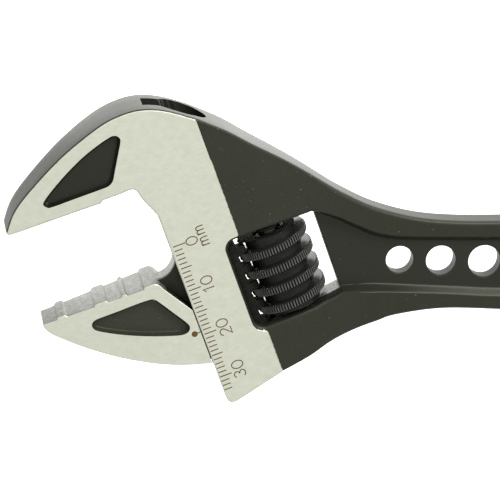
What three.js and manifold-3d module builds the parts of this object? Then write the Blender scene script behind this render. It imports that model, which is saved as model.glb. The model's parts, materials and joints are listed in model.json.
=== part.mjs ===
// Adjustable wrench, 8 inch class, lying flat on its back face.
//
// Millimetres, +Z up.  The handle runs along +X, the jaws are at the -X end and
// open towards -Y.  Head features are laid out in the head frame: its x axis
// points from the jaw tips to the neck, its y axis runs up the neck, and its
// origin is where the neck front meets the fixed jaw face.  The head frame is
// turned by HEAD_ANGLE against the handle.
import * as THREE from 'three';
import { mergeVertices } from 'three/addons/utils/BufferGeometryUtils.js';
import Module from 'manifold-3d';

const wasm = await Module();
wasm.setup();

// ---- driving dimensions ---------------------------------------------------
const HEAD_ANGLE = THREE.MathUtils.degToRad(22.5);
const ORIGIN_X = -71.962;         // head origin in the shared frame
const ORIGIN_Y = 14.996;

const HEAD_T = 13;                // ground head faces, over both sides
const BLACK_T = 12.4;             // forged head behind the ground faces
const HANDLE_T = 6.3;             // handle rims
const WEB_T = 3.5;                // handle web between the rims
const WORM_R = 7.6;               // knurled crests, the worm stands proud of the head
const MID = WORM_R;               // height of the middle plane, the worm touches z = 0
const TIP_T = 9.4;                // jaw thickness at the tips
const TAPER_FROM = -8;            // jaws start to thin here, head x
const EDGE = 0.5;                 // edge bevel of the head

const JAW_LENGTH = 29.8;          // jaw tip to neck front
const RIB_H = 0.5;                // cross ribs of the movable jaw
const OPENING = 19.8;             // opening in the pose at rest
const NECK_BOTTOM = -50.7;        // lower corner of the neck front
const GAP = 0.3;                  // running clearance

const BORE_X = 11.8;               // jaw channel behind the neck front
const BORE_R = 4.5;
const SLOT_W = 5.6;               // channel slot towards the jaws
const SLOT_TOP_X = 5.0;           // front wall of the slot above the throat

const WINDOW = { x0: 10.9, x1: 30.3, y0: -37.2, y1: -17.2, front: 2.4, back: 0.7, chamfer: 0.8 };

const WORM_X = 20.5;              // worm axis behind the neck front
const WORM_ROOT_R = 5.3;
const WORM_PITCH = 4.1;
const WORM_CREST = 1.2;           // width of the knurled crest
const WORM_FLANK = 0.75;          // axial run of one flank
const WORM_Y0 = -36.8;
const WORM_Y1 = -19.4;
const WORM_PHASE_Y = -21.9;       // a crest on the upper side passes here
const WORM_BORE_R = 2.3;

const PIN_R = 2.0;
const PIN_TOP_Y = -12.8;
const PIN_HEAD_R = 3.0;
const PIN_HEAD_H = 3.0;
const PIN_FOOT_Y = -45.7;         // slotted end, flush with the lower edge

const SPRING_R = 2.85;            // middle of the wire
const SPRING_WIRE_R = 0.35;
const SPRING_TURNS = 4;
const SPRING_SEAT_Y = -22.6;      // floor of the counterbore in the worm

const HANDLE_Y = -16.2;           // handle middle line below the head origin
const HOLE_X = 54.1;              // first hole of the row
const HOLE_COUNT = 9;
const HOLE_D = 6;
const HOLE_GROWTH = 0.5;
const HOLE_LAND = 2.5;
const HANG_X = 160.6;
const HANG_D = 11.5;
const END_R = 11.2;               // round end of the handle

// ---- small helpers --------------------------------------------------------
const COS = Math.cos(HEAD_ANGLE);
const SIN = Math.sin(HEAD_ANGLE);

// head frame to handle frame
function hp(x, y) {
  return new THREE.Vector2(x * COS - y * SIN, x * SIN + y * COS);
}

function manifoldOf(geometry) {
  const bare = geometry.clone();
  bare.deleteAttribute('normal');
  bare.deleteAttribute('uv');
  const merged = mergeVertices(bare, 1e-4);
  const index = merged.index.array;
  const kept = [];
  for (let i = 0; i < index.length; i += 3) {
    const [a, b, c] = [index[i], index[i + 1], index[i + 2]];
    if (a !== b && b !== c && c !== a) kept.push(a, b, c);
  }
  return new wasm.Manifold(new wasm.Mesh({
    numProp: 3,
    vertProperties: new Float32Array(merged.attributes.position.array),
    triVerts: new Uint32Array(kept),
  }));
}

function geometryOf(manifold) {
  const mesh = manifold.getMesh();
  const geometry = new THREE.BufferGeometry();
  const positions = new Float32Array(mesh.vertProperties);
  geometry.setAttribute('position', new THREE.BufferAttribute(positions, 3));
  geometry.setIndex(new THREE.BufferAttribute(new Uint32Array(mesh.triVerts), 1));
  const flat = geometry.toNonIndexed();
  flat.computeVertexNormals();
  return flat;
}

// closed prism over a shape, from z0 to z1
function prism(shape, z0, z1, curveSegments = 10) {
  const geometry = new THREE.ExtrudeGeometry(shape, {
    depth: z1 - z0, bevelEnabled: false, curveSegments,
  });
  geometry.translate(0, 0, z0);
  return manifoldOf(geometry);
}

// prism whose walls lean outwards over `rise` before they go straight up
function draftedPrism(shape, z0, z1, rise, spread) {
  const geometry = new THREE.ExtrudeGeometry(shape, {
    depth: z1 - z0 - rise, bevelEnabled: true, bevelSegments: 1,
    bevelThickness: rise, bevelSize: spread, curveSegments: 8,
  });
  geometry.translate(0, 0, z0 + rise);
  return manifoldOf(geometry);
}

// prism drawn in the x-z plane, from y0 to y1
function sidePrism(shape, y0, y1, curveSegments = 10) {
  const geometry = new THREE.ExtrudeGeometry(shape, {
    depth: y1 - y0, bevelEnabled: false, curveSegments,
  });
  geometry.rotateX(Math.PI / 2);
  geometry.translate(0, y1, 0);
  return manifoldOf(geometry);
}

function turnHead(manifold) {
  return manifold.rotate([0, 0, THREE.MathUtils.radToDeg(HEAD_ANGLE)]);
}

function mirrored(manifold) {
  return manifold.mirror([0, 0, 1]);
}

// cylinder along the neck between two head y values
function neckCylinder(x, radius, y0, y1, segments = 48) {
  const geometry = new THREE.CylinderGeometry(radius, radius, y1 - y0, segments);
  geometry.translate(x, (y0 + y1) / 2, 0);
  return manifoldOf(geometry);
}

function uprightCylinder(x, y, radius, height, segments = 48) {
  const geometry = new THREE.CylinderGeometry(radius, radius, height, segments);
  geometry.rotateX(Math.PI / 2);
  geometry.translate(x, y, 0);
  return manifoldOf(geometry);
}

function box(x0, x1, y0, y1, z0, z1) {
  const geometry = new THREE.BoxGeometry(x1 - x0, y1 - y0, z1 - z0);
  geometry.translate((x0 + x1) / 2, (y0 + y1) / 2, (z0 + z1) / 2);
  return manifoldOf(geometry);
}

// polygon with every corner rounded by its own radius: [x, y, r]
function roundedPolygon(corners, place = (x, y) => new THREE.Vector2(x, y)) {
  const shape = new THREE.Shape();
  const count = corners.length;
  corners.forEach(([x, y, r], i) => {
    const [px, py] = corners[(i + count - 1) % count];
    const [nx, ny] = corners[(i + 1) % count];
    const here = new THREE.Vector2(x, y);
    const back = new THREE.Vector2(px, py).sub(here).normalize();
    const ahead = new THREE.Vector2(nx, ny).sub(here).normalize();
    const half = Math.acos(THREE.MathUtils.clamp(back.dot(ahead), -1, 1)) / 2;
    const run = r / Math.tan(half);
    const start = here.clone().addScaledVector(back, run);
    const end = here.clone().addScaledVector(ahead, run);
    const a = place(start.x, start.y);
    const b = place(end.x, end.y);
    const c = place(x, y);
    if (i === 0) shape.moveTo(a.x, a.y);
    else shape.lineTo(a.x, a.y);
    if (r > 0) shape.quadraticCurveTo(c.x, c.y, b.x, b.y);
  });
  shape.closePath();
  return shape;
}

// ---- forged body ----------------------------------------------------------
function bodyOutline() {
  const shape = new THREE.Shape();
  const start = hp(-JAW_LENGTH, 0.4);
  shape.moveTo(start.x, start.y);
  // fixed jaw face, shallow relief and throat
  const face = [[-29.4, 0], [-9.9, 0], [-9.3, 0.45], [-5.2, 0.45]];
  face.forEach(([x, y]) => {
    const p = hp(x, y);
    shape.lineTo(p.x, p.y);
  });
  const throat = [[-4.2, 0.45, -2.3, 1.0, -2.1, -0.6], [-1.9, -2.6, -0.6, -4.6, 0, -6.6]];
  throat.forEach(([ax, ay, bx, by, cx, cy]) => {
    const a = hp(ax, ay);
    const b = hp(bx, by);
    const c = hp(cx, cy);
    shape.bezierCurveTo(a.x, a.y, b.x, b.y, c.x, c.y);
  });
  // neck front and its rounded lower corner
  const down = hp(0, NECK_BOTTOM + 2);
  shape.lineTo(down.x, down.y);
  const corner = hp(0, NECK_BOTTOM - 0.1);
  const past = hp(2.2, NECK_BOTTOM + 0.35);
  shape.quadraticCurveTo(corner.x, corner.y, past.x, past.y);
  // underside of the head, running into the lower edge of the handle
  const heel = hp(13.1, -47.8);
  shape.lineTo(heel.x, heel.y);
  shape.splineThru([
    new THREE.Vector2(35.9, -35.8),
    new THREE.Vector2(44.9, -30.2),
    new THREE.Vector2(54, -26.7),
    new THREE.Vector2(64, -25.5),
    new THREE.Vector2(76, -25.7),
  ]);
  shape.lineTo(HANG_X, HANDLE_Y - END_R);
  shape.absarc(HANG_X, HANDLE_Y, END_R, -Math.PI / 2, Math.PI / 2, false);
  shape.lineTo(76, -7.15);
  shape.splineThru([
    new THREE.Vector2(66, -7.35),
    new THREE.Vector2(56.8, -6.75),
    new THREE.Vector2(48, -4.6),
    new THREE.Vector2(40.3, -0.4),
    new THREE.Vector2(33.3, 2.9),
    hp(22.9, 0.2),
    hp(14.2, 9.7),
  ]);
  // round back of the head and out to the jaw tip
  shape.splineThru([
    hp(9.2, 13.4),
    hp(4.6, 15.5),
    hp(0, 16.0),
    hp(-5.3, 15.2),
    hp(-13.8, 12.1),
    hp(-22.1, 7.7),
    hp(-26.9, 4.4),
    hp(-JAW_LENGTH, 0.9),
  ]);
  shape.closePath();
  return shape;
}

// side view of the forging: full head, slope, thin handle
function forgingSide() {
  const knots = [
    [-60, BLACK_T / 2], [18, BLACK_T / 2], [21.6, 5.9], [25.2, 5.25], [28.5, 4.75],
    [32, 4.35], [37.3, 3.9], [42, 3.5], [47, 3.22], [54, HANDLE_T / 2], [200, HANDLE_T / 2],
  ];
  const shape = new THREE.Shape();
  shape.moveTo(knots[0][0], knots[0][1]);
  knots.slice(1).forEach(([x, h]) => shape.lineTo(x, h));
  knots.reverse().forEach(([x, h]) => shape.lineTo(x, -h));
  shape.closePath();
  return shape;
}

// ground area of the head seen from above, in the head frame
function groundArea() {
  const { x0, y0, y1 } = WINDOW;
  return roundedPolygon([
    [-40, 30, 0], [9, 30, 0], [14.1, 9.2, 2], [14.1, y1 + 0.6, 0.4], [x0 - 0.2, y1 + 0.6, 2],
    [x0 - 0.2, y0 - 0.6, 2], [13.0, y0 - 0.6, 1], [13.0, -60, 0], [-40, -60, 0],
  ], hp);
}

// wedge that thins a jaw towards its tip, in the head frame
function jawTaper() {
  const h = HEAD_T / 2 + 2;
  const t = TIP_T / 2;
  const s = HEAD_T / 2;
  const shape = new THREE.Shape();
  shape.moveTo(-JAW_LENGTH - 1, -t);
  shape.lineTo(TAPER_FROM, -s);
  shape.lineTo(TAPER_FROM, -h);
  shape.lineTo(200, -h);
  shape.lineTo(200, h);
  shape.lineTo(TAPER_FROM, h);
  shape.lineTo(TAPER_FROM, s);
  shape.lineTo(-JAW_LENGTH - 1, t);
  shape.closePath();
  return sidePrism(shape, -120, 60);
}

// stack of the same outline with a bevel on both faces
function bevelledPlate(shape, thickness, bevel) {
  const geometry = new THREE.ExtrudeGeometry(shape, {
    depth: thickness - 2 * bevel, bevelEnabled: true, bevelSegments: 2,
    bevelThickness: bevel, bevelSize: bevel, bevelOffset: -bevel, curveSegments: 9,
  });
  geometry.translate(0, 0, -thickness / 2 + bevel);
  return manifoldOf(geometry);
}

function windowCut() {
  const { x0, x1, y0, y1, front, back, chamfer } = WINDOW;
  const shape = roundedPolygon([
    [x0, y0, front], [x1, y0, back], [x1, y1, back], [x0, y1, front],
  ]);
  const cut = prism(shape, -20, 20);
  const rim = draftedPrism(shape, BLACK_T / 2 - chamfer, 12, chamfer + 0.4, chamfer + 0.4);
  return cut.add(rim).add(mirrored(rim));
}

// recess between the handle rims, opening into the window
function handleRecess() {
  const wall = 0.5;
  const shape = new THREE.Shape();
  const top = hp(WINDOW.x1 - 1, WINDOW.y1 - 0.6);
  const bottom = hp(WINDOW.x1 - 1, WINDOW.y0 + 0.8);
  shape.moveTo(top.x, top.y);
  shape.lineTo(37.2, -6.9);
  shape.splineThru([
    new THREE.Vector2(46.2, -10.0),
    new THREE.Vector2(53, -11.3),
    new THREE.Vector2(62, -11.9),
  ]);
  const endX = HANG_X - HANG_D / 2 - 5;
  shape.lineTo(endX - 4, HANDLE_Y + 5.6);
  shape.quadraticCurveTo(endX, HANDLE_Y + 5.6, endX, HANDLE_Y);
  shape.quadraticCurveTo(endX, HANDLE_Y - 5.6, endX - 4, HANDLE_Y - 5.6);
  shape.lineTo(62, -21.5);
  shape.lineTo(44, -21.4);
  shape.lineTo(bottom.x, bottom.y);
  shape.closePath();
  const upper = draftedPrism(shape, WEB_T / 2, 20, HANDLE_T / 2 - WEB_T / 2, wall);
  return upper.add(mirrored(upper));
}

function pocketCut(corners) {
  const shape = roundedPolygon(corners, hp);
  const depth = 1.6;
  const upper = draftedPrism(shape, HEAD_T / 2 - depth, 12, depth, 0.45);
  return upper.add(mirrored(upper));
}

function holeRow() {
  let cuts = uprightCylinder(HANG_X, HANDLE_Y, HANG_D / 2, 40, 56);
  let x = HOLE_X;
  for (let i = 0; i < HOLE_COUNT; i += 1) {
    const d = HOLE_D + HOLE_GROWTH * i;
    cuts = cuts.add(uprightCylinder(x, HANDLE_Y, d / 2, 40, 40));
    x += d / 2 + HOLE_LAND + (d + HOLE_GROWTH) / 2;
  }
  return cuts;
}

// keyhole channel for the jaw: bore, slot, and the blind bores of the worm pin
function channelCut() {
  const bore = neckCylinder(BORE_X, BORE_R, -70, 30);
  const half = SLOT_W / 2;
  const back = box(SLOT_TOP_X, BORE_X, -70, 30, -half, half);
  const front = box(-8, BORE_X, -70, 3, -half, half);
  const pin = neckCylinder(WORM_X, PIN_R + GAP, -70, PIN_TOP_Y + GAP);
  const head = neckCylinder(WORM_X, PIN_HEAD_R + GAP, -70, PIN_FOOT_Y + PIN_HEAD_H + GAP);
  return bore.add(back).add(front).add(pin).add(head);
}

function makeBody() {
  const outline = bodyOutline();
  const plate = bevelledPlate(outline, HEAD_T, EDGE);
  const flank = prism(outline, -HEAD_T / 2, HEAD_T / 2);
  const forged = flank.intersect(turnHead(sidePrism(forgingSide(), -115, 90)));
  const ground = plate.intersect(prism(groundArea(), -HEAD_T, HEAD_T));
  let body = forged.add(ground).intersect(turnHead(jawTaper()));
  body = body.subtract(turnHead(windowCut()));
  body = body.subtract(turnHead(channelCut()));
  body = body.subtract(handleRecess());
  body = body.subtract(pocketCut([[-21.9, 3.0, 0.9], [-6.4, 2.7, 2], [-1.5, 13.1, 1.2]]));
  return body.subtract(holeRow());
}

// ---- movable jaw with its rack --------------------------------------------
function jawOutline() {
  const face = -OPENING;
  const base = face - RIB_H;
  const shape = new THREE.Shape();
  shape.moveTo(-JAW_LENGTH + 0.2, base);
  // cross ribs: steep towards the tip, sloping towards the throat
  const ribs = [[-26.7, -24.9, -24.45], [-18.6, -15.9, -15.6], [-12.75, -11.75, -11.5]];
  ribs.forEach(([front, top, back]) => {
    shape.lineTo(front, base);
    shape.lineTo(front + 0.35, face);
    shape.lineTo(top, face);
    shape.lineTo(back, base);
  });
  shape.lineTo(-7.95, base);
  shape.lineTo(-7.65, face);
  shape.lineTo(-5.8, face);
  shape.quadraticCurveTo(-4.8, face, -4.0, face - 1.9);
  shape.lineTo(-GAP, face - 8.3);
  shape.lineTo(-GAP, face - 20.7);
  shape.bezierCurveTo(-9.4, face - 18.5, -19.5, face - 12.5, -27.4, face - 4.5);
  shape.quadraticCurveTo(-JAW_LENGTH + 0.2, face - 2.5, -JAW_LENGTH, face - 1.0);
  shape.closePath();
  return shape;
}

// thin web that carries the rack through the slot
function jawWeb() {
  const top = -OPENING + 2.0;
  const shape = new THREE.Shape();
  shape.moveTo(-8, top - 7);
  shape.lineTo(-5.4, top - 2.4);
  shape.quadraticCurveTo(-2.0, top - 3.6, 0.2, top);
  shape.lineTo(BORE_X - 2, top + 0.6);
  shape.lineTo(BORE_X - 2, NECK_BOTTOM + 4.2);
  shape.lineTo(-2.5, -OPENING - 19.9);
  shape.lineTo(-8, -OPENING - 15.7);
  shape.closePath();
  const half = SLOT_W / 2 - GAP;
  return prism(shape, -half, half);
}

// groove cutter: one slanted gap between two rack teeth
function rackGap(y) {
  const lead = Math.atan(WORM_PITCH / (2 * Math.PI * (WORM_R + WORM_ROOT_R) / 2));
  const crest = WORM_CREST / 2 + 0.42;
  const mouth = crest + WORM_FLANK;
  const root = WORM_X - WORM_R - GAP;
  const tip = WORM_X - WORM_ROOT_R - GAP;
  const slope = (mouth - crest) / (tip - root);
  const shape = new THREE.Shape();
  shape.moveTo(root, -crest);
  shape.lineTo(tip + 3, -mouth - 3 * slope);
  shape.lineTo(tip + 3, mouth + 3 * slope);
  shape.lineTo(root, crest);
  shape.closePath();
  const degrees = THREE.MathUtils.radToDeg(lead);
  return prism(shape, -9, 9).rotate([-degrees, 0, 0]).translate([0, y, 0]);
}

function makeJaw() {
  const plate = bevelledPlate(jawOutline(), HEAD_T, 0.4);
  let jaw = plate.intersect(jawTaper());
  const top = -OPENING + 4.6;
  const bottom = NECK_BOTTOM + 3.9;
  const tip = WORM_X - WORM_ROOT_R - GAP;
  let rack = neckCylinder(BORE_X, BORE_R - GAP, bottom, top);
  rack = rack.intersect(box(0, tip, -90, 30, -20, 20));
  const first = WORM_PHASE_Y - WORM_PITCH / 4;
  for (let i = -2; i < 7; i += 1) {
    rack = rack.subtract(rackGap(first - i * WORM_PITCH));
  }
  jaw = jaw.add(jawWeb()).add(rack);
  jaw = turnHead(jaw);
  return jaw.subtract(pocketCut([
    [-21.2, -23.5, 0.8], [-7.6, -22.8, 1.6], [-1.4, -32.4, 1.1], [-11.4, -29.4, 3],
  ]));
}

// ---- worm, pin and spring -------------------------------------------------
// endless right-hand thread around the y axis; trimmed to length afterwards
function threadBlank() {
  const segments = 60;
  const turns = 8;
  const crest = WORM_CREST / 2;
  const foot = crest + WORM_FLANK;
  const profile = [[-foot, WORM_ROOT_R], [-crest, WORM_R], [crest, WORM_R], [foot, WORM_ROOT_R]];
  const rows = [];
  for (let t = 0; t <= turns; t += 1) {
    profile.forEach(([y, r]) => rows.push([y + t * WORM_PITCH, r]));
  }
  const start = WORM_PHASE_Y - (turns / 2 + 1) * WORM_PITCH;
  const positions = [];
  // angle zero faces +z and grows towards +x, the crest rises with it
  rows.forEach(([y, r]) => {
    for (let j = 0; j < segments; j += 1) {
      const a = (j / segments) * 2 * Math.PI;
      positions.push(r * Math.sin(a), start + y + (j / segments) * WORM_PITCH, r * Math.cos(a));
    }
  });
  const index = [];
  const per = profile.length;
  const at = (row, j) => (j < segments ? row * segments + j : (row + per) * segments);
  for (let row = 0; row + 1 < rows.length - per; row += 1) {
    for (let j = 0; j < segments; j += 1) {
      const [a, b, c, d] = [at(row, j), at(row, j + 1), at(row + 1, j + 1), at(row + 1, j)];
      index.push(a, b, c, a, c, d);
    }
  }
  // both ends close on a point of the axis
  const last = rows.length - per - 1;
  const lower = positions.length / 3;
  positions.push(0, start - 3 * WORM_PITCH, 0);
  const upper = lower + 1;
  positions.push(0, start + (turns + 4) * WORM_PITCH, 0);
  for (let j = 0; j < segments; j += 1) {
    index.push(lower, at(0, j + 1), at(0, j));
    index.push(upper, at(last, j), at(last, j + 1));
  }
  for (let k = 0; k < per; k += 1) {
    index.push(lower, at(k, 0), at(k + 1, 0));
    index.push(upper, at(last + k + 1, 0), at(last + k, 0));
  }
  const geometry = new THREE.BufferGeometry();
  geometry.setAttribute('position', new THREE.Float32BufferAttribute(positions, 3));
  geometry.setIndex(index);
  let blank = manifoldOf(geometry);
  if (blank.volume() < 0) blank = manifoldOf(geometry);
  return blank.translate([WORM_X, 0, 0]);
}

// turned solid around an axis parallel to the neck; profile is [radius, y]
function turned(profile, x, segments = 48) {
  const points = profile.map(([r, y]) => new THREE.Vector2(r, y));
  const geometry = new THREE.LatheGeometry(points, segments);
  geometry.translate(x, 0, 0);
  return manifoldOf(geometry);
}

function makeWorm() {
  const ease = 0.9;
  const blank = turned([
    [0, WORM_Y0], [WORM_R - ease, WORM_Y0], [WORM_R + 0.1, WORM_Y0 + ease + 0.1],
    [WORM_R + 0.1, WORM_Y1 - ease - 0.1], [WORM_R - ease, WORM_Y1], [0, WORM_Y1],
  ], WORM_X);
  let worm = threadBlank().intersect(blank);
  worm = worm.subtract(neckCylinder(WORM_X, WORM_BORE_R, -90, 30, 32));
  const seat = neckCylinder(WORM_X, SPRING_R + SPRING_WIRE_R + GAP, SPRING_SEAT_Y, 0, 32);
  return turnHead(worm.subtract(seat));
}

function makePin() {
  let pin = turned([
    [0, PIN_FOOT_Y], [PIN_HEAD_R - 0.3, PIN_FOOT_Y], [PIN_HEAD_R, PIN_FOOT_Y + 0.3],
    [PIN_HEAD_R, PIN_FOOT_Y + PIN_HEAD_H], [PIN_R, PIN_FOOT_Y + PIN_HEAD_H],
    [PIN_R, PIN_TOP_Y - 0.4], [PIN_R - 0.4, PIN_TOP_Y], [0, PIN_TOP_Y],
  ], WORM_X);
  const slot = box(WORM_X - 0.5, WORM_X + 0.5, PIN_FOOT_Y - 1, PIN_FOOT_Y + 1.2, -6, 6);
  pin = pin.subtract(slot);
  return turnHead(pin);
}

class Coil extends THREE.Curve {
  getPoint(t, target = new THREE.Vector3()) {
    const y0 = SPRING_SEAT_Y + GAP + SPRING_WIRE_R;
    const y1 = WINDOW.y1 - GAP - SPRING_WIRE_R;
    const a = t * SPRING_TURNS * 2 * Math.PI;
    return target.set(
      WORM_X + SPRING_R * Math.sin(a),
      y0 + (y1 - y0) * t,
      SPRING_R * Math.cos(a),
    );
  }
}

function makeSpring() {
  const wire = new THREE.Shape();
  wire.absarc(0, 0, SPRING_WIRE_R, 0, 2 * Math.PI, false);
  const geometry = new THREE.ExtrudeGeometry(wire, {
    steps: 30 * SPRING_TURNS, extrudePath: new Coil(), bevelEnabled: false, curveSegments: 8,
  });
  return turnHead(manifoldOf(geometry));
}

// ---- assembly -------------------------------------------------------------
const group = new THREE.Group();
group.name = 'adjustable_wrench';

function addPart(name, manifold, material) {
  const placed = manifold.translate([ORIGIN_X, ORIGIN_Y, MID]);
  const mesh = new THREE.Mesh(geometryOf(placed), material);
  mesh.name = name;
  group.add(mesh);
}

function metal(name, color, metalness, roughness) {
  const material = new THREE.MeshStandardMaterial({ color, metalness, roughness });
  material.name = name;
  return material;
}

addPart('wrench_body', makeBody(), metal('body_forging', 0x3e4038, 0.6, 0.5));
addPart('movable_jaw', makeJaw(), metal('jaw_steel', 0xb9b8ac, 0.9, 0.35));
addPart('worm_knurl', makeWorm(), metal('worm_steel', 0x2c2d29, 0.7, 0.4));
addPart('worm_pin', makePin(), metal('pin_steel', 0x55564f, 0.8, 0.4));
addPart('worm_spring', makeSpring(), metal('spring_steel', 0x8a8a84, 0.9, 0.3));

export default group;
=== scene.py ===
"""Adjustable wrench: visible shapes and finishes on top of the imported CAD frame.

Shapes are laid out in millimetres in the handle frame: origin where the neck
front meets the fixed jaw face, +X along the handle, z = 0 in the middle plane.
The head frame is the same origin turned by HEAD_ANGLE.
"""
import json
import math

import bmesh
import bpy
import numpy as np
from mathutils import Matrix, Vector
from mathutils.geometry import delaunay_2d_cdt


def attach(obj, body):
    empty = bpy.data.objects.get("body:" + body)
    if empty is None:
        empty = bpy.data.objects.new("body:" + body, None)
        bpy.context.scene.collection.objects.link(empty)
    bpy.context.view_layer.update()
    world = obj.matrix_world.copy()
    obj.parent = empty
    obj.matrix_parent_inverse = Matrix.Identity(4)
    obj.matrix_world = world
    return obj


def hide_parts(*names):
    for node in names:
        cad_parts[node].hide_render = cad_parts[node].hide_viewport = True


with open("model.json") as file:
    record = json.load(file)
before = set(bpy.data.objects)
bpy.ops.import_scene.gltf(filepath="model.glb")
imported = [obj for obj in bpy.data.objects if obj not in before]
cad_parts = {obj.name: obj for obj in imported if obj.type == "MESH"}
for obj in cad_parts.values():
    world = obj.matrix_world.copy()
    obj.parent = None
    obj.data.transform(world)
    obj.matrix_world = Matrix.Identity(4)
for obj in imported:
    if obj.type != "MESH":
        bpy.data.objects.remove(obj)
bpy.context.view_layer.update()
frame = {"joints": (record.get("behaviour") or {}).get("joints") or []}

# ---- driving dimensions, mm -------------------------------------------------
HEAD_ANGLE = math.radians(22.5)
COS, SIN = math.cos(HEAD_ANGLE), math.sin(HEAD_ANGLE)
HEAD_H = 6.5            # half thickness of the ground head
BLACK_H = 6.2           # half thickness of the forged head
HANDLE_H = 3.15         # half thickness of the handle rims
WEB_H = 1.75            # half thickness of the handle web
TIP_H = 4.7             # half thickness at the jaw tips
TAPER_FROM = -8.0       # the jaws thin from here to their tips
JAW_LENGTH = 29.8
OPENING = 19.8          # between the gripping faces
NECK_BOTTOM = -50.7
GAP = 0.3               # clearance between parts that slide or turn
BORE_X, BORE_R = 11.8, 4.5  # round channel of the rack
SLOT_H = 2.8            # half width of the slot in front of it
SLOT_TOP_X = 5.0        # above the throat the slot starts here
# worm window; front and back are its corner radii
WIN = dict(x0=10.9, x1=30.3, y0=-37.2, y1=-17.2, front=2.4, back=0.7)
WORM_X, WORM_R, WORM_ROOT = 20.5, 7.6, 5.6
WORM_MID_Y = -28.1      # where the worm's joint lies
PITCH = 4.1
CREST, FLANK = 1.7, 0.2 # thread crest width, and run of one flank
WORM_Y0, WORM_Y1 = -36.45, -19.4
PHASE_Y = -21.9         # a crest passes here on the front
HANDLE_Y = -16.2        # centre line of the handle
HANG_X, HANG_D, END_R = 160.6, 11.5, 11.2
HOLES, HOLE_X, HOLE_D, HOLE_STEP, HOLE_BRIDGE = 9, 54.1, 6, 0.5, 2.5

worm_joint = next(j for j in frame["joints"] if j["name"] == "worm_spin")
JX, JY, JZ = [1000 * v for v in worm_joint["pos_m"]]
ORIGIN = (
    JX - (WORM_X * COS - WORM_MID_Y * SIN),
    JY - (WORM_X * SIN + WORM_MID_Y * COS),
    JZ,
)


UP_NECK = np.array([-SIN, COS, 0])


def hp(x, y):
    """Head frame to handle frame."""
    return (x * COS - y * SIN, x * SIN + y * COS)


def to_head(x, y):
    """Handle frame to head frame."""
    return x * COS + y * SIN, -x * SIN + y * COS


def metres(co):
    """Handle frame in mm to the shared frame in metres."""
    co = np.asarray(co, float)
    return (co + np.array(ORIGIN)) / 1000.0


# ---- curves -----------------------------------------------------------------
def catmull(points, steps=10):
    out = []
    n = len(points)
    for i in range(n - 1):
        p0 = np.array(points[max(i - 1, 0)], float)
        p1, p2 = np.array(points[i], float), np.array(points[i + 1], float)
        p3 = np.array(points[min(i + 2, n - 1)], float)
        for k in range(1, steps + 1):
            t = k / steps
            v0, v1 = (p2 - p0) / 2, (p3 - p1) / 2
            a = 2 * p1 - 2 * p2 + v0 + v1
            b = -3 * p1 + 3 * p2 - 2 * v0 - v1
            out.append(tuple(a * t ** 3 + b * t ** 2 + v0 * t + p1))
    return out


def bezier(*points, steps):
    """Bezier curve through any number of control points, without its first point."""
    out = []
    for k in range(1, steps + 1):
        level = [np.array(p, float) for p in points]
        while len(level) > 1:
            level = [a + (b - a) * k / steps for a, b in zip(level, level[1:])]
        out.append(tuple(level[0]))
    return out


def arc(cx, cy, r, a0, a1, steps):
    return [
        (cx + r * math.cos(a0 + (a1 - a0) * k / steps),
         cy + r * math.sin(a0 + (a1 - a0) * k / steps))
        for k in range(steps + 1)
    ]


def rounded(corners, steps=6, place=lambda x, y: (x, y)):
    """Polygon whose corners (x, y, r) are rounded with arcs of that radius."""
    out = []
    n = len(corners)
    for i, (x, y, r) in enumerate(corners):
        here = np.array([x, y], float)
        back = np.array(corners[i - 1][:2], float) - here
        ahead = np.array(corners[(i + 1) % n][:2], float) - here
        back /= np.linalg.norm(back)
        ahead /= np.linalg.norm(ahead)
        if r <= 0:
            out.append(place(x, y))
            continue
        half = math.acos(max(-1, min(1, float(back @ ahead)))) / 2
        run = r / math.tan(half)
        mid = (back + ahead) / np.linalg.norm(back + ahead)
        centre = here + mid * (r / math.sin(half))
        a = here + back * run - centre
        b = here + ahead * run - centre
        a0, a1 = math.atan2(a[1], a[0]), math.atan2(b[1], b[0])
        while a1 - a0 > math.pi:
            a1 -= 2 * math.pi
        while a1 - a0 < -math.pi:
            a1 += 2 * math.pi
        for px, py in arc(centre[0], centre[1], r, a0, a1, steps):
            out.append(place(px, py))
    return out


def resample(points, step):
    """Splits the long segments of a closed outline; corners stay."""
    out = []
    n = len(points)
    for i in range(n):
        a, b = np.array(points[i], float), np.array(points[(i + 1) % n], float)
        length = np.linalg.norm(b - a)
        if length < 1e-6:
            continue
        parts = max(1, int(math.ceil(length / step)))
        for k in range(parts):
            out.append(tuple(a + (b - a) * k / parts))
    return out


def area(points):
    p = np.array(points)
    q = np.roll(p, -1, axis=0)
    return float(np.sum(p[:, 0] * q[:, 1] - q[:, 0] * p[:, 1]) / 2)


def ccw(points):
    return points if area(points) > 0 else points[::-1]


# ---- plane geometry with numpy ----------------------------------------------
def distance(pts, poly):
    """Distance from points to a closed outline, worked out in blocks."""
    pts = np.asarray(pts, float)
    a = np.asarray(poly, float)
    b = np.roll(a, -1, axis=0)
    d = b - a
    dd = np.maximum((d ** 2).sum(1), 1e-12)
    out = np.empty(len(pts))
    for s in range(0, len(pts), 2000):
        p = pts[s:s + 2000]
        t = ((p[:, None, :] - a[None]) * d[None]).sum(2) / dd[None]
        t = np.clip(t, 0, 1)
        q = a[None] + t[..., None] * d[None]
        out[s:s + 2000] = np.sqrt(((p[:, None, :] - q) ** 2).sum(2).min(1))
    return out


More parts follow.
